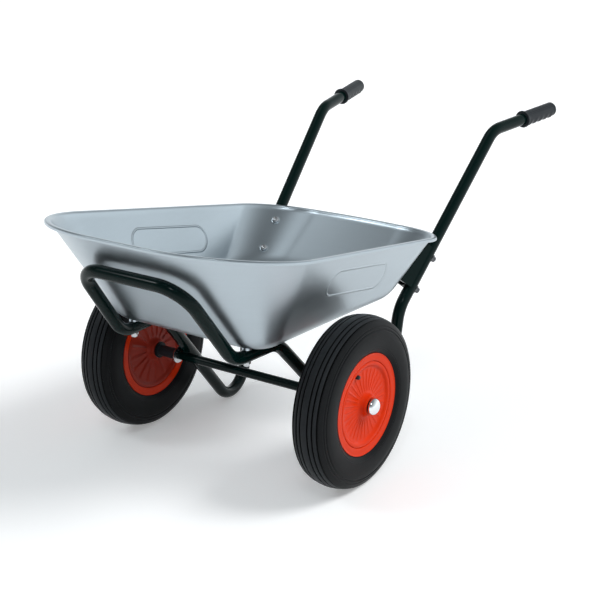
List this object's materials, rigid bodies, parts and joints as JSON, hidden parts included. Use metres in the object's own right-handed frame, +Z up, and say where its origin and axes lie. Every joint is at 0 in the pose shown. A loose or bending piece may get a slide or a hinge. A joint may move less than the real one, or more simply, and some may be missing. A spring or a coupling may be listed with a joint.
{
  "type": "two wheel wheelbarrow",
  "caption": "Garden barrow with a pressed steel tray on a bent tube frame, rear handles with grips, foot loops and a cross axle with two pneumatic wheels.",
  "frame": {"origin": "on the ground under the middle of the part's bounding box, with the barrow standing on its wheels and both foot loops", "axes": "+X across towards the user's left wheel, along the axle; +Y back towards the grips; +Z up"},
  "size_m": [0.7516, 1.406, 0.6643],
  "materials": {
    "sheet_steel": "bright zinc coated sheet, satin",
    "frame_paint": "gloss very dark green paint",
    "plain_steel": "plain turned steel",
    "black_plastic": "black moulded plastic",
    "hub_paint": "black paint",
    "tyre_rubber": "black ribbed tyre rubber",
    "tube_rubber": "black rubber",
    "wheel_paint": "gloss orange red paint",
    "cap_chrome": "polished",
    "bright_zinc": "bright zinc plate"
  },
  "bodies": {
    "frame": {"tray": "sheet_steel", "front_loop": "frame_paint", "rail_left": "frame_paint", "rail_right": "frame_paint", "frame_spigots": "plain_steel", "axle": "frame_paint", "bracket_left": "frame_paint", "bracket_right": "frame_paint", "handle_bolts": "bright_zinc", "handle_washers": "bright_zinc", "handle_nuts": "bright_zinc", "floor_bolts": "bright_zinc", "floor_washers": "bright_zinc", "floor_nuts": "bright_zinc", "grip_left": "black_plastic", "grip_right": "black_plastic", "inner_washers": "bright_zinc", "axle_sleeves": "black_plastic", "outer_washers": "bright_zinc", "retaining_rings": "plain_steel", "cap_left": "cap_chrome", "cap_right": "cap_chrome"},
    "wheel_left": {"tyre_left": "tyre_rubber", "inner_tube_left": "tube_rubber", "rim_left": "wheel_paint", "disc_outer_left": "wheel_paint", "disc_inner_left": "wheel_paint", "hub_left": "hub_paint", "bushes_left": "black_plastic", "valve_left": "tube_rubber", "valve_cap_left": "black_plastic"},
    "wheel_right": {"tyre_right": "tyre_rubber", "inner_tube_right": "tube_rubber", "rim_right": "wheel_paint", "disc_outer_right": "wheel_paint", "disc_inner_right": "wheel_paint", "hub_right": "hub_paint", "bushes_right": "black_plastic", "valve_right": "tube_rubber", "valve_cap_right": "black_plastic"}
  },
  "joints": [
    {"name": "wheel_left_spin", "type": "hinge", "parent": "frame", "child": "wheel_left", "pos_m": [0.31, -0.2964, 0.2], "axis": [1, 0, 0], "continuous": true},
    {"name": "wheel_right_spin", "type": "hinge", "parent": "frame", "child": "wheel_right", "pos_m": [-0.31, -0.2964, 0.2], "axis": [1, 0, 0], "continuous": true}
  ]
}
